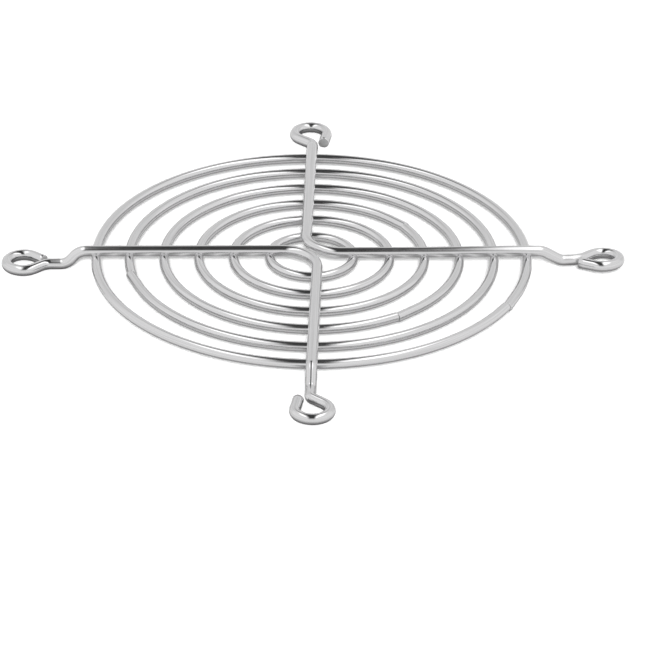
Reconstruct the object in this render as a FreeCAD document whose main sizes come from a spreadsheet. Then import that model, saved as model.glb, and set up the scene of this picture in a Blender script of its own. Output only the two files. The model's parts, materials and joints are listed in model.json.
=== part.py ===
"""Wire finger guard for a 92 mm fan: six concentric rings welded under two bent support wires.

Each support wire starts as a screw eye, steps up over the rings, turns a little more than a right
angle near the centre, crosses the rings again and ends as a second screw eye. Its near arm runs along
-X and its far arm along -Y. All lengths are millimetres, angles degrees.

The guard's frame: origin at the centre of the guard on the mounting plane, +Z towards the side that
faces the fingers, X and Y along the sides of the square of screw holes. The arms run along its
diagonals, so every body is drawn with its arms along X and Y and then turned by half a right angle.
"""
import FreeCAD
import Part
import Sketcher

import math
import os
import re

from FreeCAD import Placement, Rotation, Vector

DOC = FreeCAD.newDocument("fan_cover")

# Driving sizes: alias, value, meaning
SIZES = [
    ("hole_pitch", 82.5, "side of the square of screw holes"),
    ("support_wire", 2.2, "diameter of the two support wires"),
    ("ring_wire", 1.95, "diameter of the wire of the rings"),
    ("eye_hole", 4.5, "clear diameter of a screw eye"),
    ("near_lead_angle", 40.0, "turn of the wire at the neck of the near arm's eye"),
    ("far_lead_angle", 50.0, "turn of the wire at the neck of the far arm's eye"),
    ("near_tail_angle", 40.0, "slope of the near eye's tail, which closes on the wire past the neck"),
    ("far_tail", 3.6, "length of the far eye's tail, which closes on the side of the arm"),
    ("eye_gap", 0.1, "gap between the cut end of a tail and the wire that it closes on"),
    ("neck_radius", 1.7, "bend radius at the neck"),
    ("drop_foot", 7.7, "from the eye's centre in to the foot of the step"),
    ("arm_drop", 3.0, "step from the arms down to the eyes"),
    ("drop_slope", 45.0, "slope of the step"),
    ("drop_radius", 2.0, "bend radius at both ends of the step"),
    ("drop_clearance", 1.4, "from the outermost ring to the start of the step"),
    ("corner_radius", 7.0, "bend radius of a support wire near the centre"),
    ("corner_x", 1.3, "place of the corner that the two arms of a wire leave from, against the near arm"),
    ("corner_y", 0.5, "place of that corner against the far arm"),
    ("toe_in", 0.55, "how far inside its screw hole's centre an arm aims, towards the other arm"),
    ("weld_depth", 0.8, "how far a support wire is set into each ring by its welds"),
    ("inner_radius", 8.5, "bend radius of the innermost ring"),
    ("ring_shift", 0.3, "how far the rings between stand outside an even spacing"),
    ("seam_lead", 0.3, "how far the long unbent end of a ring stands out at its butt weld"),
    ("seam_tail", 0.06, "how far the short unbent end stands out at the butt weld"),
    ("seam_radius", 3.0, "bend radius of the two ends right at the butt weld"),
]

# Sizes that follow from the driving ones
DERIVED = [
    ("eye_circle", "hole_pitch * sqrt(2) / 2"),
    ("eye_radius", "(eye_hole + support_wire) / 2"),
    ("eye_plane", "support_wire / 2"),
    ("arm_plane", "support_wire / 2 + arm_drop"),
    ("ring_plane", "arm_plane - (support_wire + ring_wire) / 2 + weld_depth"),
    ("drop_run", "2 * drop_radius * sin(drop_slope)"
                 " + (arm_drop - 2 * drop_radius * (1 - cos(drop_slope))) / tan(drop_slope)"),
    ("drop_top", "drop_foot + drop_run"),
    # The turn of each arm from its diagonal, and its eye's centre along it and to its left
    ("near_skew", "atan((corner_y + toe_in) / (eye_circle + corner_x)) / 1 deg"),
    ("far_skew", "atan((corner_x + toe_in) / (eye_circle + corner_y)) / 1 deg"),
    ("near_reach", "(eye_circle + corner_x) * cos(near_skew) + corner_y * sin(near_skew)"),
    ("far_reach", "(eye_circle + corner_y) * cos(far_skew) + corner_x * sin(far_skew)"),
    ("near_side", "corner_y * cos(near_skew) - (eye_circle + corner_x) * sin(near_skew)"),
    ("far_side", "(eye_circle + corner_y) * sin(far_skew) - corner_x * cos(far_skew)"),
    # The near tail ends against the wire past the neck, the far one against the arm
    ("near_tail", "(eye_hole / 2 * (1 + cos(near_lead_angle + near_tail_angle)) - eye_gap)"
                  " / sin(near_lead_angle + near_tail_angle)"),
    ("far_tail_angle", "(acos((far_side + support_wire / 2 + eye_gap)"
                       " / sqrt((eye_hole / 2) ^ 2 + far_tail ^ 2)) - atan(2 * far_tail / eye_hole)) / 1 deg"),
    ("outer_radius", "eye_circle - drop_top - drop_clearance - ring_wire / 2"),
    ("ring_step", "(outer_radius - inner_radius) / 5"),
    ("second_radius", "inner_radius + 4 * ring_step + ring_shift"),
    ("third_radius", "inner_radius + 3 * ring_step + ring_shift"),
    ("fourth_radius", "inner_radius + 2 * ring_step + ring_shift"),
    ("fifth_radius", "inner_radius + ring_step + ring_shift"),
]

# Ring name, alias of its radius, direction of its butt weld from the right arm.
# The welds of the two smallest rings lie under an arm.
RINGS = [
    ("outer_ring", "outer_radius", -28.0),
    ("second_ring", "second_radius", -167.5),
    ("third_ring", "third_radius", -56.0),
    ("fourth_ring", "fourth_radius", 33.5),
    ("fifth_ring", "fifth_radius", 90.0),
    ("inner_ring", "inner_radius", 0.0),
]

DIAGONAL = 45.0


def make_sheet():
    """The sheet of sizes, with the driving sizes first and the derived ones below."""
    sheet = DOC.addObject("Spreadsheet::Sheet", "Sizes")
    rows = [(alias, str(value), note) for alias, value, note in SIZES]
    rows += [(alias, "=" + formula, "derived") for alias, formula in DERIVED]
    for number, (alias, content, note) in enumerate(rows, start=1):
        sheet.set(f"A{number}", alias)
        sheet.set(f"B{number}", content)
        sheet.set(f"C{number}", note)
        sheet.setAlias(f"B{number}", alias)
    DOC.recompute()
    return sheet


SHEET = make_sheet()


def size(alias):
    """The present value of a size, as a plain number."""
    value = SHEET.get(alias)
    return float(getattr(value, "Value", value))


ALIASES = {row[0] for row in SIZES + DERIVED}


def cell(formula):
    """A formula of the sheet's aliases, as an expression that an object can be bound to."""
    return re.sub(r"[a-z_]+", lambda word: "Sizes." + word[0] if word[0] in ALIASES else word[0], formula)


def origin_plane(body, role):
    """One of the body's own origin planes."""
    return next(item for item in body.Origin.OriginFeatures if item.Role == role)


def bind(item, prop, formula):
    """Bind a property to a formula of the sheet's aliases."""
    item.setExpression(prop, cell(formula))


class Sketch:
    """A sketch on an origin plane of a body, with its constraints bound to the sheet."""

    def __init__(self, body, name, role):
        self.item = body.newObject("Sketcher::SketchObject", name)
        self.item.AttachmentSupport = [(origin_plane(body, role), "")]
        self.item.MapMode = "FlatFace"

    def line(self, start, end):
        return self.item.addGeometry(Part.LineSegment(Vector(*start), Vector(*end)), False)

    def arc(self, centre, radius, low, high):
        circle = Part.Circle(Vector(*centre), Vector(0, 0, 1), radius)
        return self.item.addGeometry(Part.ArcOfCircle(circle, math.radians(low), math.radians(high)), False)

    def rule(self, *parts):
        return self.item.addConstraint(Sketcher.Constraint(*parts))

    def drive(self, name, formula, *parts):
        """Add a constraint with a size, and bind that size to a formula."""
        number = self.rule(*parts)
        self.item.renameConstraint(number, name)
        bind(self.item, f"Constraints.{name}", formula)

    def place(self, base, turn_axis=None, turn=None):
        """Bind the sketch's place on its plane: base formulas and a turn about one of its own axes."""
        if turn_axis is not None:
            self.item.AttachmentOffset = Placement(Vector(0, 0, 0), Rotation(turn_axis, 90))
            bind(self.item, "AttachmentOffset.Rotation.Angle", turn)
        for axis, formula in zip("xyz", base):
            if formula is not None:
                bind(self.item, f"AttachmentOffset.Base.{axis}", formula)


# The sketcher's numbers: the horizontal axis, which begins at the origin, and the points of an edge
ORIGIN, H_AXIS = -1, -1
START, END, CENTRE = range(1, 4)


def wire_profile(body, name, diameter, place, heading):
    """The round section of a wire at a place, given as formulas of X, Y and Z, square to a heading."""
    profile = Sketch(body, name, "YZ_Plane")
    circle = Part.Circle(Vector(0, 0, 0), Vector(0, 0, 1), size(diameter) / 2)
    section = profile.item.addGeometry(circle, False)
    profile.rule("Coincident", section, CENTRE, ORIGIN, START)
    profile.drive("wire", diameter, "Diameter", section, size(diameter))
    along_x, along_y, height = place
    profile.place([along_y, height, along_x], Vector(0, 1, 0), heading)
    return profile


def arm_place(heading, distance, height):
    """A place on an arm, at a distance from the corner that the two arms of its wire leave from."""
    return [f"corner_x + ({distance}) * cos({heading})", f"corner_y + ({distance}) * sin({heading})", height]


def sweep(body, name, profile, path):
    """A length of wire: the profile swept along every edge of the path."""
    pipe = body.newObject("PartDesign::AdditivePipe", name)
    pipe.Profile = profile.item
    pipe.Spine = path.item
    return pipe


def top_path(body):
    """The near arm, the bend near the centre and the far arm, seen from above.

    The sketch's origin is the corner that both arms leave from.
    """
    near = math.radians(size("near_skew"))
    far = math.radians(size("far_skew"))
    radius = size("corner_radius")
    setback = radius * math.tan((math.pi / 2 + near + far) / 2)
    near_length = size("near_reach") - size("drop_top")
    far_length = size("far_reach") - size("drop_top")
    inward = Vector(math.cos(near), math.sin(near))
    down = Vector(-math.sin(far), -math.cos(far))
    centre = inward * -setback + Vector(math.sin(near), -math.cos(near)) * radius

    path = Sketch(body, "top_path", "XY_Plane")
    arm = path.line(tuple(inward * -near_length), tuple(inward * -setback))
    bend = path.arc(tuple(centre), radius, -size("far_skew"), 90 + size("near_skew"))
    far_arm = path.line(tuple(down * setback), tuple(down * far_length))

    path.rule("Tangent", arm, END, bend, END)
    path.rule("Tangent", bend, START, far_arm, START)
    path.rule("PointOnObject", ORIGIN, START, arm)
    path.rule("PointOnObject", ORIGIN, START, far_arm)
    path.drive("near_heading", "near_skew", "Angle", arm, near)
    path.drive("near_length", "near_reach - drop_top", "Distance", ORIGIN, START, arm, START, near_length)
    path.drive("bend_radius", "corner_radius", "Radius", bend, radius)
    path.drive("far_heading", "-90 - far_skew", "Angle", far_arm, math.radians(-90) - far)
    path.drive("far_length", "far_reach - drop_top", "Distance", ORIGIN, START, far_arm, END, far_length)
    path.place(["corner_x", "corner_y", "arm_plane"])
    return path


def step_path(body, name, heading, reach):
    """The step from the arm down to the eye, in the upright plane of the arm."""
    radius = size("drop_radius")
    slope = math.radians(size("drop_slope"))
    top = size(reach) - size("drop_top")
    foot = size(reach) - size("drop_foot")
    high = size("arm_plane")
    low = size("eye_plane")
    run = radius * math.sin(slope)
    fall = radius * (1 - math.cos(slope))

    path = Sketch(body, name, "XZ_Plane")
    crest = path.arc((top, high - radius), radius, 90 - size("drop_slope"), 90)
    ramp = path.line((top + run, high - fall), (foot - run, low + fall))
    hollow = path.arc((foot, low + radius), radius, -90 - size("drop_slope"), -90)

    path.rule("Tangent", crest, START, ramp, START)
    path.rule("Tangent", ramp, END, hollow, START)
    path.rule("Vertical", crest, CENTRE, crest, END)
    path.rule("Vertical", hollow, CENTRE, hollow, END)
    path.rule("Equal", crest, hollow)
    path.drive("start", f"{reach} - drop_top", "DistanceX", ORIGIN, START, crest, END, top)
    path.drive("high", "arm_plane", "DistanceY", ORIGIN, START, crest, END, high)
    path.drive("bend_radius", "drop_radius", "Radius", crest, radius)
    path.drive("slope", "-drop_slope", "Angle", ramp, -slope)
    path.drive("low", "eye_plane", "DistanceY", ORIGIN, START, hollow, END, low)
    path.place(["corner_x", None, "-corner_y"], Vector(0, 1, 0), heading)
    return path


def eye_path(body, name, heading, arm):
    """The screw eye, seen from above: the neck, the round of the eye and its tail."""
    lead = math.radians(size(f"{arm}_lead_angle"))
    back = math.radians(size(f"{arm}_tail_angle"))
    tail = size(f"{arm}_tail")
    radius = size("eye_radius")
    neck = size("neck_radius")
    centre = Vector(size(f"{arm}_reach"), size(f"{arm}_side"))
    foot = centre.x - size("drop_foot")
    corner = centre.x - (radius + centre.y * math.cos(lead)) / math.sin(lead)
    neck_start = corner - neck * math.tan(lead / 2)
    neck_end = (neck_start + neck * math.sin(lead), neck * (1 - math.cos(lead)))
    round_start = centre + Vector(-math.sin(lead), math.cos(lead)) * radius
    round_end = centre + Vector(-math.sin(back), -math.cos(back)) * radius
    cut = round_end + Vector(-math.cos(back), math.sin(back)) * tail

    path = Sketch(body, name, "XY_Plane")
    stub = path.line((foot, 0), (neck_start, 0))
    bend = path.arc((neck_start, neck), neck, -90, -90 + math.degrees(lead))
    outward = path.line(neck_end, tuple(round_start))
    eye = path.arc(tuple(centre), radius, -90 - math.degrees(back), 90 + math.degrees(lead))
    inward = path.line(tuple(round_end), tuple(cut))

    path.rule("PointOnObject", stub, START, H_AXIS)
    path.rule("Horizontal", stub)
    path.rule("Tangent", stub, END, bend, START)
    path.rule("Tangent", bend, END, outward, START)
    path.rule("Tangent", outward, END, eye, END)
    path.rule("Tangent", eye, START, inward, START)
    path.drive("foot", f"{arm}_reach - drop_foot", "DistanceX", ORIGIN, START, stub, START, foot)
    path.drive("reach", f"{arm}_reach", "DistanceX", ORIGIN, START, eye, CENTRE, centre.x)
    path.drive("side", f"{arm}_side", "DistanceY", ORIGIN, START, eye, CENTRE, centre.y)
    path.drive("neck_bend", "neck_radius", "Radius", bend, neck)
    path.drive("eye_bend", "eye_radius", "Radius", eye, radius)
    path.drive("lead", f"{arm}_lead_angle", "Angle", outward, lead)
    path.drive("back", f"180 - {arm}_tail_angle", "Angle", inward, math.pi - back)
    path.drive("tail", f"{arm}_tail", "Distance", inward, tail)
    path.place(["corner_x", "corner_y", "eye_plane"], Vector(0, 0, 1), heading)
    return path


def make_support(name, turn):
    """One support wire: the arms over the rings, and at each end a step down and a screw eye."""
    body = DOC.addObject("PartDesign::Body", name)
    body.Label = name
    body.Placement = Placement(Vector(0, 0, 0), Rotation(Vector(0, 0, 1), turn))

    arms = [("near", "180 + near_skew"), ("far", "-90 - far_skew")]
    place = arm_place(arms[0][1], "near_reach - drop_top", "arm_plane")
    section = wire_profile(body, "arm_section", "support_wire", place, arms[0][1])
    sweep(body, "arms", section, top_path(body))
    for arm, heading in arms:
        place = arm_place(heading, f"{arm}_reach - drop_top", "arm_plane")
        section = wire_profile(body, f"{arm}_step_section", "support_wire", place, heading)
        sweep(body, f"{arm}_step", section, step_path(body, f"{arm}_step_path", heading, f"{arm}_reach"))
        place = arm_place(heading, f"{arm}_reach - drop_foot", "eye_plane")
        section = wire_profile(body, f"{arm}_eye_section", "support_wire", place, heading)
        sweep(body, f"{arm}_eye", section, eye_path(body, f"{arm}_eye_path", heading, arm))
    return body


def half_ring_path(body, name, radius, rise, side, seam):
    """Half a ring, seen from above: the arc, the unbent end and the tight bend at the butt weld.

    The weld lies on the sketch's X axis. side is 1 for the half at positive Y and -1 for the other.
    """
    bend = size(radius)
    tight = size("seam_radius")
    angle = math.degrees(math.acos((bend - tight) / (bend - tight + size(rise))))
    out = Vector(math.cos(math.radians(angle)), side * math.sin(math.radians(angle)))
    middle = Vector(bend - tight + size(rise), 0)

    path = Sketch(body, name, "XY_Plane")
    if side > 0:
        arc = path.arc((0, 0), bend, angle, 180)
        tip = path.arc(tuple(middle), tight, 0, angle)
        arc_root, arc_end, tip_end, tip_seam = END, START, END, START
    else:
        arc = path.arc((0, 0), bend, 180, 360 - angle)
        tip = path.arc(tuple(middle), tight, -angle, 0)
        arc_root, arc_end, tip_end, tip_seam = START, END, START, END
    flat = path.line(tuple(out * bend), tuple(middle + out * tight))

    path.rule("Coincident", arc, CENTRE, ORIGIN, START)
    path.rule("PointOnObject", arc, arc_root, H_AXIS)
    path.rule("Tangent", arc, arc_end, flat, START)
    path.rule("Tangent", flat, END, tip, tip_end)
    path.rule("PointOnObject", tip, CENTRE, H_AXIS)
    path.rule("PointOnObject", tip, tip_seam, H_AXIS)
    path.drive("bend", radius, "Radius", arc, bend)
    path.drive("seam_bend", "seam_radius", "Radius", tip, tight)
    path.drive("seam", f"{radius} + {rise}", "DistanceX", ORIGIN, START, tip, tip_seam, bend + size(rise))
    path.place([None, None, "ring_plane"], Vector(0, 0, 1), str(seam))
    return path


def make_ring_blank(name, radius, seam):
    """A ring before it is welded to the support wires, bent round and butt welded to itself."""
    body = DOC.addObject("PartDesign::Body", name + "_blank")
    body.Label = name + "_blank"
    body.Placement = Placement(Vector(0, 0, 0), Rotation(Vector(0, 0, 1), DIAGONAL))
    for half, rise, side in [("lead", "seam_lead", 1), ("tail", "seam_tail", -1)]:
        path = half_ring_path(body, f"{half}_path", radius, rise, side, seam)
        place = [f"-{radius} * cos({seam})", f"-{radius} * sin({seam})", "ring_plane"]
        root = wire_profile(body, f"{half}_section", "ring_wire", place, str(seam + 90))
        sweep(body, f"{half}_half", root, path)
    return body


def make_ring(name, radius, seam, supports):
    """A ring with the seats that the support wires are welded into."""
    ring = DOC.addObject("Part::Cut", name)
    ring.Label = name
    ring.Base = make_ring_blank(name, radius, seam)
    ring.Tool = supports
    return ring


def check_and_write(nodes):
    """Recompute, check every object, and write each sub-part to its own file."""
    DOC.recompute()
    failed = [item.Name for item in DOC.Objects if {"Invalid", "Error"} & set(item.State)]
    if failed:
        raise RuntimeError(f"failed objects: {failed}")
    for node in nodes:
        shape = node.Shape
        if shape.isNull() or not shape.isValid() or len(shape.Solids) != 1:
            raise RuntimeError(f"bad shape: {node.Label}, {len(shape.Solids)} solids")
    os.makedirs("parts", exist_ok=True)
    for node in nodes:
        node.Shape.exportStep(f"parts/{node.Label}.step")
        box = node.Shape.BoundBox
        print(f"{node.Label}: volume {node.Shape.Volume:.2f}, x {box.XMin:.2f} to {box.XMax:.2f}, "
              f"y {box.YMin:.2f} to {box.YMax:.2f}, z {box.ZMin:.2f} to {box.ZMax:.2f}")


def main():
    front = make_support("front_support", DIAGONAL)
    rear = make_support("rear_support", DIAGONAL + 180)
    both = DOC.addObject("Part::Compound", "supports")
    both.Links = [front, rear]
    rings = [make_ring(name, radius, seam, both) for name, radius, seam in RINGS]
    check_and_write([front, rear, *rings])


main()
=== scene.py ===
"""The looks of a wire fan cover: eight bright plated wires on a white floor, seen from one corner."""

import json
import math

import bmesh
import bpy
from mathutils import Matrix, Quaternion, Vector


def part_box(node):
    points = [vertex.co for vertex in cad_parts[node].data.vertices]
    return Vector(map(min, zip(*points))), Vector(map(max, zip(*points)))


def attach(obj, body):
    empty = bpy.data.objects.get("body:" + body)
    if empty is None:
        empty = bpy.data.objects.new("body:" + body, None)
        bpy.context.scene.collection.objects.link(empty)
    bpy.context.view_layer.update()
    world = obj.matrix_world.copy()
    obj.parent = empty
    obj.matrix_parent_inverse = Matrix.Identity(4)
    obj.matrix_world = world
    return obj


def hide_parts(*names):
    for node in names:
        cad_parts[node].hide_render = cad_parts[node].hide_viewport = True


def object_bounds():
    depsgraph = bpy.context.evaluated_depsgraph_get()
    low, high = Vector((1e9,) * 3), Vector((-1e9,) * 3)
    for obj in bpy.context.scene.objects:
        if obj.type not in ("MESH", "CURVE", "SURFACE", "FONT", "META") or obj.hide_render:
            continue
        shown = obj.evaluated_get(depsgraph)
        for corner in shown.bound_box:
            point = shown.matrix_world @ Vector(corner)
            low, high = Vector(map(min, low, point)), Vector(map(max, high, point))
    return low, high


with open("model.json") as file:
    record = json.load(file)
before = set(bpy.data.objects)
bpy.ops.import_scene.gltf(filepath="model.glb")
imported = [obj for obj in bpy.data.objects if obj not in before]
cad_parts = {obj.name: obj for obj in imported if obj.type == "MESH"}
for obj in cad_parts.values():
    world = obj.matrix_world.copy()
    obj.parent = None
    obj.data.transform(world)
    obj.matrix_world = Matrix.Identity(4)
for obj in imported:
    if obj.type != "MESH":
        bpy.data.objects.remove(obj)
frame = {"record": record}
cad_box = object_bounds()

MM = 0.001
UP = Vector((0, 0, 1))

# The arms run along the diagonals of the square of screw holes
DIAGONAL = math.radians(45)
PITCH = frame["record"]["mounts"][0]["dims"]["spacing_x_mm"] * MM
EYE_CIRCLE = PITCH / math.sqrt(2)

# Wire gauges and levels. The rings' gauge and both levels are read from the frame, and the photographed arms
# are pressed a hair deeper into the rings
ring_low, ring_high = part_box("outer_ring")
support_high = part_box("front_support")[1]
RING_WIRE = ring_high.z - ring_low.z
RING_LEVEL = (ring_high.z + ring_low.z) / 2
SUPPORT_WIRE = 2.2 * MM
SET_DOWN = 0.07 * MM
ARM_LEVEL = support_high.z - SUPPORT_WIRE / 2 - SET_DOWN

# The eyes and the bend near the centre of a support wire, as its source has them
EYE_RADIUS = 3.35 * MM
EYE_GAP = 0.1 * MM
NEAR_LEAD = math.radians(40)
FAR_LEAD = math.radians(50)
FAR_TAIL = 3.6 * MM
CORNER = Vector((1.3, 0.5, 0)) * MM
CORNER_RADIUS = 7.0 * MM
TOE_IN = 0.55 * MM

# The shapes of an arm's step and eye, in millimetres and degrees. The photographed guard's left arm is bent
# more gently than the front and back ones. Its right arm is bowed up, with a shallower step, and an eye that
# stands higher and farther out, is tilted and twisted a little, and has a longer tail
LIKE_SOURCE = {"slope": 45, "radius": 2.0, "neck": 1.7, "foot": 7.7, "drop": 2.93, "reach": 0,
               "tail_slope": 40, "tail_more": 0, "bow": 0, "tilt": 0, "twist": 0}
GENTLE = LIKE_SOURCE | {"slope": 49, "radius": 3.0, "neck": 3.0, "foot": 7.4}
BOWED = LIKE_SOURCE | {"slope": 29.5, "radius": 3.0, "neck": 4.0, "drop": 2.1, "reach": 0.6,
                       "tail_slope": 32, "tail_more": 0.35, "bow": 0.2, "tilt": 2.2, "twist": 5}

# Distances from the guard's centre at which the bow, the tilt and the twist of an arm begin and end
BOW_START, BOW_END = 20 * MM, 42 * MM
TILT_START, TWIST_END = 51 * MM, 55 * MM

# Each ring's butt weld: its direction from the right arm in degrees, and how far the two wire ends stand out
# in millimetres. Those of the fifth and the inner ring don't show and lie under an arm
SEAMS = {
    "outer_ring": (-28.0, 0.25, 0.04),
    "second_ring": (-167.5, 0.3, 0.06),
    "third_ring": (-56.0, 0.3, 0.06),
    "fourth_ring": (33.5, 0.3, 0.06),
    "fifth_ring": (90.0, 0.3, 0.06),
    "inner_ring": (0.0, 0.3, 0.06),
}
SEAM_RADIUS = 3.0 * MM

# How finely the wires are drawn, and the chamfer of their cut ends
SIDES = 48
BEND_STEP = math.radians(3)
RUN_STEP = 1.2 * MM
CHAMFER = 0.07 * MM


class Trace:
    """Follows a bent wire and keeps the points of its centre line."""

    def __init__(self, start, heading):
        self.points = [Vector(start)]
        self.heading = Vector(heading).normalized()

    def run(self, length):
        """Go straight on."""
        steps = max(1, math.ceil(length / RUN_STEP))
        start = self.points[-1]
        self.points += [start + self.heading * (length * k / steps) for k in range(1, steps + 1)]
        return self

    def bend(self, radius, angle, axis=UP):
        """Turn about an axis, to the left of it where the angle is positive."""
        start = self.points[-1]
        inward = axis.cross(self.heading) * math.copysign(1, angle)
        centre = start + inward * radius
        steps = max(2, math.ceil(abs(angle) / BEND_STEP))
        for k in range(1, steps + 1):
            turn = Quaternion(axis, angle * k / steps)
            self.points.append(centre + turn @ (start - centre))
        self.heading = Quaternion(axis, angle) @ self.heading
        return self


def share(value, start, end):
    """How far a value lies on the way from start to end, from 0 to 1."""
    return min(max((value - start) / (end - start), 0), 1)


def arm_to_eye(start, heading, length, eye_side, lead, tail_slope, tail, shape):
    """An arm of a given length to the foot of its step, then its eye out to the cut end.

    eye_side is how far the eye's centre lies to the left of the arm's line.
    """
    slope = math.radians(shape["slope"])
    step_radius, neck_radius = shape["radius"] * MM, shape["neck"] * MM
    ramp = (shape["drop"] * MM - 2 * step_radius * (1 - math.cos(slope))) / math.sin(slope)
    step_run = 2 * step_radius * math.sin(slope) + ramp * math.cos(slope)
    foot = shape["foot"] * MM
    sideways = UP.cross(heading)
    corner = (EYE_RADIUS + eye_side * math.cos(lead)) / math.sin(lead)
    neck = neck_radius * math.tan(lead / 2)
    outward = (EYE_RADIUS * math.cos(lead) + eye_side) / math.sin(lead) - neck

    wire = Trace(start, heading)
    wire.run(length + shape["reach"] * MM - foot - step_run)
    wire.bend(step_radius, slope, sideways)
    wire.run(ramp)
    wire.bend(step_radius, -slope, sideways)
    wire.run(foot - corner - neck)
    wire.bend(neck_radius, lead)
    wire.run(outward)
    wire.bend(EYE_RADIUS, -(math.pi + lead + tail_slope))
    wire.run(tail + shape["tail_more"] * MM)
    for point in wire.points:
        distance = point.xy.length
        bowed = share(distance, BOW_START, BOW_END)
        point.z += shape["bow"] * MM * bowed ** 2 * (3 - 2 * bowed)
        point.z += max(distance - TILT_START, 0) * math.tan(math.radians(shape["tilt"]))
        twisted = share(distance, TILT_START, TWIST_END)
        point.z -= twisted * sideways.dot(point - start) * math.tan(math.radians(shape["twist"]))
    return wire.points


def support_points(near_shape):
    """The centre line of one support wire, with its near arm to the left and its far arm to the front."""
    eyes = (Vector((-EYE_CIRCLE, 0, 0)), Vector((0, -EYE_CIRCLE, 0)))
    aims = (eyes[0] + Vector((0, -TOE_IN, 0)), eyes[1] + Vector((-TOE_IN, 0, 0)))
    near, far = [(aim - CORNER).normalized() for aim in aims]
    near_side, far_side = [UP.cross(way).dot(eye - CORNER) for way, eye in ((near, eyes[0]), (far, eyes[1]))]
    turn = math.pi - near.angle(far)
    setback = CORNER_RADIUS * math.tan(turn / 2)

    inside = EYE_RADIUS - SUPPORT_WIRE / 2
    near_tail_slope = math.radians(near_shape["tail_slope"])
    closing = NEAR_LEAD + near_tail_slope
    near_tail = (inside * (1 + math.cos(closing)) - EYE_GAP) / math.sin(closing)
    beside = far_side + SUPPORT_WIRE / 2 + EYE_GAP
    far_tail_slope = math.acos(beside / math.hypot(inside, FAR_TAIL)) - math.atan(FAR_TAIL / inside)

    start = CORNER + near * setback + Vector((0, 0, ARM_LEVEL))
    near_length = near.dot(eyes[0] - CORNER) - setback
    far_length = far.dot(eyes[1] - CORNER) - setback
    near_arm = arm_to_eye(start, near, near_length, near_side, NEAR_LEAD, near_tail_slope, near_tail,
                          near_shape)
    corner = Trace(start, -near).bend(CORNER_RADIUS, -turn)
    far_arm = arm_to_eye(corner.points[-1], far, far_length, far_side, FAR_LEAD, far_tail_slope, FAR_TAIL,
                         LIKE_SOURCE)
    return near_arm[::-1] + corner.points[1:] + far_arm[1:]


def ring_points(radius, lead, tail):
    """The centre line of a ring from one wire end round to the other, with the butt weld at +X."""
    halves = []
    for side, rise in ((1, lead), (-1, tail)):
        middle = radius - SEAM_RADIUS + rise
        angle = math.acos((radius - SEAM_RADIUS) / middle)
        half = Trace((radius + rise, 0, RING_LEVEL), (0, side, 0))
        half.bend(SEAM_RADIUS, side * angle)
        half.run(middle * math.sin(angle))
        half.bend(radius, side * (math.pi - angle))
        halves.append(half.points)
    return halves[0] + halves[1][-2::-1]


def tangent_at(points, k):
    """The direction of the centre line at one of its points."""
    before = points[max(k - 1, 0)]
    after = points[min(k + 1, len(points) - 1)]
    return (after - before).normalized()


def add_object(name, data):
    """A new object that stands in the scene."""
    piece = bpy.data.objects.new(name, data)
    bpy.context.scene.collection.objects.link(piece)
    return piece


def sweep(name, points, radius, turn, materials):
    """A wire: a round tube along the points, with chamfered cut faces at its two ends."""
    mesh = bpy.data.meshes.new(name)
    piece = add_object(name, mesh)
    for material in materials:
        mesh.materials.append(material)

    # Centre, direction and radius of each loop, the chamfers included
    first, last = tangent_at(points, 0), tangent_at(points, len(points) - 1)
    loops = [(points[0], first, radius - CHAMFER)]
    loops.append((points[0] + first * CHAMFER, first, radius))
    loops += [(points[k], tangent_at(points, k), radius) for k in range(1, len(points) - 1)]
    loops.append((points[-1] - last * CHAMFER, last, radius))
    loops.append((points[-1], last, radius - CHAMFER))

    work = bmesh.new()
    uv_layer = work.loops.layers.uv.new("along_wire")
    across = UP.cross(first).normalized()
    rounds, lengths = [], []
    length = 0.0
    for k, (centre, ahead, size) in enumerate(loops):
        across = (across - ahead * across.dot(ahead)).normalized()
        upward = ahead.cross(across)
        if k:
            length += (centre - loops[k - 1][0]).length
        lengths.append(length)
        rounds.append([
            work.verts.new(centre + size * (math.cos(a) * across + math.sin(a) * upward))
            for a in (2 * math.pi * side / SIDES for side in range(SIDES))
        ])
    for k in range(len(rounds) - 1):
        for side in range(SIDES):
            after = (side + 1) % SIDES
            face = work.faces.new((
                rounds[k][side], rounds[k][after], rounds[k + 1][after], rounds[k + 1][side]))
            face.smooth = True
            corners = ((side, k), (side + 1, k), (side + 1, k + 1), (side, k + 1))
            for loop, (around, along) in zip(face.loops, corners):
                loop[uv_layer].uv = (around / SIDES, lengths[along] / MM)
    for cut_end in (rounds[0][::-1], rounds[-1]):
        face = work.faces.new(cut_end)
        face.material_index = 1
        face.smooth = False
    work.transform(Matrix.Rotation(turn, 4, "Z"))
    work.normal_update()
    work.to_mesh(mesh)
    work.free()
    return piece


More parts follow.
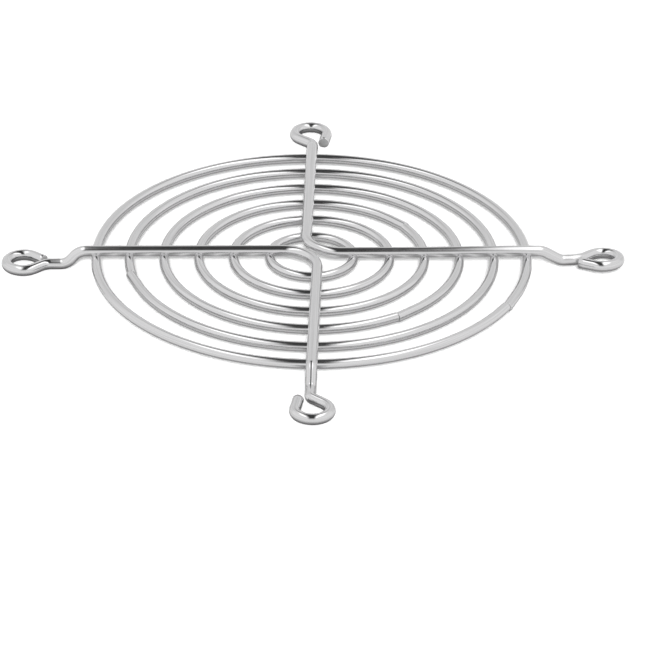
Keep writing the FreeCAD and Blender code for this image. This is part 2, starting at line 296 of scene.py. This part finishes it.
class Nodes:
    """A node tree with short calls for adding and joining nodes."""

    def __init__(self, owner):
        """Start the empty tree of a material or a world."""
        owner.use_nodes = True
        self.tree = owner.node_tree
        self.tree.nodes.clear()

    def add(self, kind, inputs=(), **settings):
        """A node with its inputs set to values or joined to other nodes' sockets."""
        node = self.tree.nodes.new(kind)
        for key, value in settings.items():
            setattr(node, key, value)
        for socket, value in dict(inputs).items():
            if isinstance(value, bpy.types.NodeSocket):
                self.tree.links.new(value, node.inputs[socket])
            else:
                node.inputs[socket].default_value = value
        return node

    def math(self, operation, *values):
        """The result of a sum on numbers or sockets."""
        return self.add("ShaderNodeMath", dict(enumerate(values)), operation=operation).outputs[0]

    def smooth_step(self, value, none, full):
        """0 where the value is at or beyond none, 1 at or beyond full, and smooth between them."""
        node = self.add("ShaderNodeMapRange", {"Value": value, "From Min": none, "From Max": full},
                        interpolation_type="SMOOTHSTEP")
        return node.outputs["Result"]

    def noise(self, place, scale, detail):
        """Noise between 0 and 1 over a place."""
        return self.add("ShaderNodeTexNoise", {"Vector": place, "Scale": scale, "Detail": detail}).outputs[0]

    def stretched(self, place, scale):
        """A place with its three directions scaled."""
        return self.add("ShaderNodeMapping", {"Vector": place, "Scale": scale}).outputs[0]

    def shaded(self, tint, shade):
        """A colour made darker or lighter by a factor."""
        return self.add("ShaderNodeVectorMath", {0: tint, "Scale": shade}, operation="SCALE").outputs[0]

    def surface(self, shader, output="ShaderNodeOutputMaterial"):
        """Show a shader on what the tree belongs to."""
        self.tree.links.new(shader, self.add(output).inputs["Surface"])

    def metal(self, colour, roughness, bump):
        """Show bare metal."""
        shader = self.add("ShaderNodeBsdfPrincipled", {
            "Base Color": colour, "Metallic": 1.0, "Roughness": roughness, "Normal": bump.outputs[0]})
        self.surface(shader.outputs[0])


# The plating's tint, and how often its marks repeat: streaks and finer scratches, round the wire and along
# each millimetre of it, and a soft cloud in its gloss. A shade is a span and the least value
PLATING = (0.76, 0.757, 0.763)
STREAKS, SCRATCHES, CLOUD = (26, 0.05, 1), (70, 0.25, 1), 380.0
STREAK_SHADE = (0.3, 0.85)
GLOSS_SPAN = 0.08
SCRATCH_SHARE = 0.35

# The cut ends' tint, and the marks of the blade in them
BARE_STEEL = (0.88, 0.88, 0.88)
DRAG, MARKS = (1, 1, 9), 2200.0
MARK_SHADE = (0.3, 0.8)
MARK_ROUGHNESS = (0.3, 0.4)
MARK_DEPTH = 0.02 * MM


def wire_material(name, roughness, streak_depth):
    """Bright plating on drawn wire: faint streaks along it, soft marks and slightly uneven gloss."""
    material = bpy.data.materials.new(name)
    n = Nodes(material)
    uv = n.add("ShaderNodeTexCoord").outputs["UV"]
    place = n.add("ShaderNodeTexCoord").outputs["Object"]
    streaks = n.noise(n.stretched(uv, STREAKS), 1.0, 2.0)
    scratches = n.noise(n.stretched(uv, SCRATCHES), 1.0, 3.0)
    cloud = n.noise(place, CLOUD, 2.0)

    colour = n.shaded(PLATING, n.math("MULTIPLY_ADD", streaks, *STREAK_SHADE))
    gloss = n.math("MULTIPLY_ADD", cloud, GLOSS_SPAN, roughness - GLOSS_SPAN / 2)
    height = n.math("MULTIPLY_ADD", scratches, SCRATCH_SHARE, streaks)
    bump = n.add("ShaderNodeBump", {"Height": height, "Distance": streak_depth, "Strength": 1.0})
    n.metal(colour, gloss, bump)
    return material


def cut_material(name):
    """The sheared end of a wire: bare steel, drawn over by the blade."""
    material = bpy.data.materials.new(name)
    n = Nodes(material)
    place = n.add("ShaderNodeTexCoord").outputs["Object"]
    marks = n.noise(n.stretched(place, DRAG), MARKS, 3.0)

    colour = n.shaded(BARE_STEEL, n.math("MULTIPLY_ADD", marks, *MARK_SHADE))
    rough = n.math("MULTIPLY_ADD", marks, *MARK_ROUGHNESS)
    bump = n.add("ShaderNodeBump", {"Height": marks, "Distance": MARK_DEPTH})
    n.metal(colour, rough, bump)
    return material


ring_finish = wire_material("ring_wire", 0.11, 0.014 * MM)
support_finish = wire_material("support_wire", 0.10, 0.016 * MM)
cut_finish = cut_material("cut_end")

# The wires stand for the CAD's: two supports, half a turn apart, and six rings
for node, half_turn, near_shape in (("front_support", 0.0, GENTLE), ("rear_support", math.pi, BOWED)):
    wire = sweep(node + "_wire", support_points(near_shape), SUPPORT_WIRE / 2, DIAGONAL + half_turn,
                 (support_finish, cut_finish))
    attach(wire, "root")
    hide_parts(node)

for node, (direction, lead, tail) in SEAMS.items():
    low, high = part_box(node)
    radius = (high.x - low.x - RING_WIRE) / 2
    wire = sweep(node + "_wire", ring_points(radius, lead * MM, tail * MM), RING_WIRE / 2,
                 DIAGONAL + math.radians(direction), (ring_finish, cut_finish))
    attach(wire, "root")
    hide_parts(node)

WHITE = (1, 1, 1, 1)


def square(name, reach, height, order, material):
    """A level square of the studio, its face turned by the order of its corners."""
    mesh = bpy.data.meshes.new(name)
    mesh.from_pydata([(-reach, -reach, 0), (reach, -reach, 0), (reach, reach, 0), (-reach, reach, 0)],
                     [], [order])
    mesh.materials.append(material)
    piece = add_object(name, mesh)
    piece.location.z = height
    return piece


# The floor, just under the object. Seen directly it is white paper that keeps the key light's shadow, a
# little brighter for the camera alone. In the wires it is an even grey glow, with a soft shade painted under
# each wire, darker where the wires stand near it
FLOOR_REACH, FLOOR_GAP = 1.5, 0.01 * MM
PAPER_PAINT, PAPER_LIFT = 0.86, 0.16
MIRRORED_WHITE, MIRRORED_SHADE = 0.82, 0.12
SHADE_REACH = 3.6 * MM
SHADE_DEPTH = 3.6
SHADE_SAMPLES = 8
floor_finish = bpy.data.materials.new("floor_white")
n = Nodes(floor_finish)
paths = n.add("ShaderNodeLightPath").outputs
mirrored = n.math("MAXIMUM", paths["Is Glossy Ray"], paths["Is Transmission Ray"])
# Painted shade: the mirrored floor's glow is made darker by how close the wires are above it
under = n.add("ShaderNodeAmbientOcclusion", {"Distance": SHADE_REACH}, samples=SHADE_SAMPLES).outputs["AO"]
shade = n.math("MULTIPLY_ADD", n.math("POWER", under, SHADE_DEPTH), MIRRORED_WHITE - MIRRORED_SHADE,
               MIRRORED_SHADE)
paint = n.add("ShaderNodeBsdfDiffuse", {"Color": (PAPER_PAINT, PAPER_PAINT, PAPER_PAINT, 1)}).outputs[0]
mirror_view = n.add("ShaderNodeEmission", {"Color": WHITE, "Strength": shade}).outputs[0]
lift = n.math("MULTIPLY", paths["Is Camera Ray"], PAPER_LIFT)
lifted = n.add("ShaderNodeEmission", {"Color": WHITE, "Strength": lift}).outputs[0]
paper = n.add("ShaderNodeAddShader", {0: paint, 1: lifted}).outputs[0]
n.surface(n.add("ShaderNodeMixShader", {0: mirrored, 1: paper, 2: mirror_view}).outputs[0])
floor = square("floor", FLOOR_REACH, cad_box[0].z - FLOOR_GAP, (0, 1, 2, 3), floor_finish)

# The studio: a pale room, and over the object a wide soft lamp with a dark bar across its middle.
# Directions are from the object: x to the picture's right, y away from the camera, z up.
# The wires show it in full; the floor gets only a part of it, so that the key light's shadow stays clear.
ROOM, ROOM_FAR = 0.87, 0.75
LAMP, BAR = 1.6, 0.05
FILL = 0.42

# The lamp is an oval: its half widths, how far it is moved towards the camera, and where its rim fades
LAMP_ACROSS, LAMP_AWAY = 0.5, 0.62
LAMP_SHIFT = 0.05
LAMP_RIM = (1.12, 0.86)

# Where each edge is at nothing and where it is full
OVERHEAD = (0.1, 0.3)
FAR_WALL = (0.35, 0.6)
BAR_LEFT, BAR_RIGHT = (-0.36, -0.14), (0.22, 0.1)
BAR_FAR, BAR_NEAR = (0.87, 0.6), (-1.0, -0.62)


def studio_light(n, direction):
    """The brightness that the object shows from a direction, or the floor's share of it."""
    turned = n.add("ShaderNodeMapping", {"Vector": direction, "Rotation": (0, 0, -DIAGONAL)})
    x, y, z = n.add("ShaderNodeSeparateXYZ", {"Vector": turned.outputs[0]}).outputs
    across = n.math("POWER", n.math("DIVIDE", x, LAMP_ACROSS), 2.0)
    away = n.math("POWER", n.math("DIVIDE", n.math("ADD", y, LAMP_SHIFT), LAMP_AWAY), 2.0)
    spread = n.math("SQRT", n.math("ADD", across, away))
    overhead = n.smooth_step(z, *OVERHEAD)
    lamp = n.math("MULTIPLY", n.smooth_step(spread, *LAMP_RIM), overhead)
    room = n.math("MULTIPLY_ADD", n.smooth_step(y, *FAR_WALL), ROOM_FAR - ROOM, ROOM)
    lit = n.math("MULTIPLY_ADD", lamp, n.math("SUBTRACT", LAMP, room), room)
    bar = n.smooth_step(x, *BAR_LEFT)
    for edge in (n.smooth_step(x, *BAR_RIGHT), n.smooth_step(y, *BAR_FAR), n.smooth_step(y, *BAR_NEAR),
                 overhead):
        bar = n.math("MULTIPLY", bar, edge)
    lit = n.math("MULTIPLY_ADD", bar, n.math("SUBTRACT", BAR, lit), lit)
    diffuse_ray = n.add("ShaderNodeLightPath").outputs["Is Diffuse Ray"]
    return n.math("MULTIPLY", lit, n.math("MULTIPLY_ADD", diffuse_ray, FILL - 1, 1.0))


world = bpy.data.worlds.new("studio")
bpy.context.scene.world = world
n = Nodes(world)
seen = studio_light(n, n.add("ShaderNodeTexCoord").outputs["Generated"])
studio = n.add("ShaderNodeBackground", {"Color": WHITE, "Strength": seen}).outputs[0]
white = n.add("ShaderNodeBackground", {"Color": WHITE, "Strength": 1.0}).outputs[0]
camera_ray = n.add("ShaderNodeLightPath").outputs["Is Camera Ray"]
shown = n.add("ShaderNodeMixShader", {0: camera_ray, 1: studio, 2: white}).outputs[0]
n.surface(shown, "ShaderNodeOutputWorld")

# The lamp and its bar are close enough for the two ends of an arm to see different parts of them
LAMP_HEIGHT = 0.3
LAMP_REACH = 0.7
cloth = bpy.data.materials.new("lamp_cloth")
n = Nodes(cloth)
place = n.add("ShaderNodeNewGeometry").outputs["Position"]
direction = n.add("ShaderNodeVectorMath", {0: place}, operation="NORMALIZE").outputs[0]
n.surface(n.add("ShaderNodeEmission", {"Color": WHITE, "Strength": studio_light(n, direction)}).outputs[0])
lamp = square("lamp", LAMP_REACH, LAMP_HEIGHT, (3, 2, 1, 0), cloth)
lamp.visible_camera = False
lamp.visible_shadow = False

# The key light comes from just above the camera, so a wire's shadow shows only along its lower edge
KEY_ELEVATION = 34.0
KEY_STRENGTH = 4.2
KEY_SPREAD = 10.0
key_light = bpy.data.lights.new("key", "SUN")
key_light.energy = KEY_STRENGTH
key_light.angle = math.radians(KEY_SPREAD)
key = add_object("key", key_light)
key.rotation_euler = (math.radians(90 - KEY_ELEVATION), 0, DIAGONAL)
key.visible_glossy = False

# The camera, fitted to the wires' edges and the eyes in the photograph
AZIMUTH, ELEVATION, DISTANCE = 44.617, 28.604, 0.8567
YAW, PITCH_UP, ROLL = 0.155, -0.726, 0.485
FOCAL_PX, PHOTO_PX, SENSOR = 4225.1, 645, 36.0

azimuth, elevation = math.radians(AZIMUTH), math.radians(ELEVATION)
back = Vector((math.sin(azimuth) * math.cos(elevation), -math.cos(azimuth) * math.cos(elevation),
               math.sin(elevation)))
aim = (-back).to_track_quat("-Z", "Y").to_matrix().to_4x4()
nudge = (Matrix.Rotation(-math.radians(YAW), 4, "Y") @ Matrix.Rotation(math.radians(PITCH_UP), 4, "X")
         @ Matrix.Rotation(math.radians(ROLL), 4, "Z"))
lens = bpy.data.cameras.new("camera")
lens.sensor_width = SENSOR
lens.lens = FOCAL_PX / PHOTO_PX * SENSOR
camera = add_object("camera", lens)
camera.matrix_world = Matrix.Translation(back * DISTANCE) @ aim @ nudge
bpy.context.scene.camera = camera

bpy.context.scene.view_settings.view_transform = "Standard"
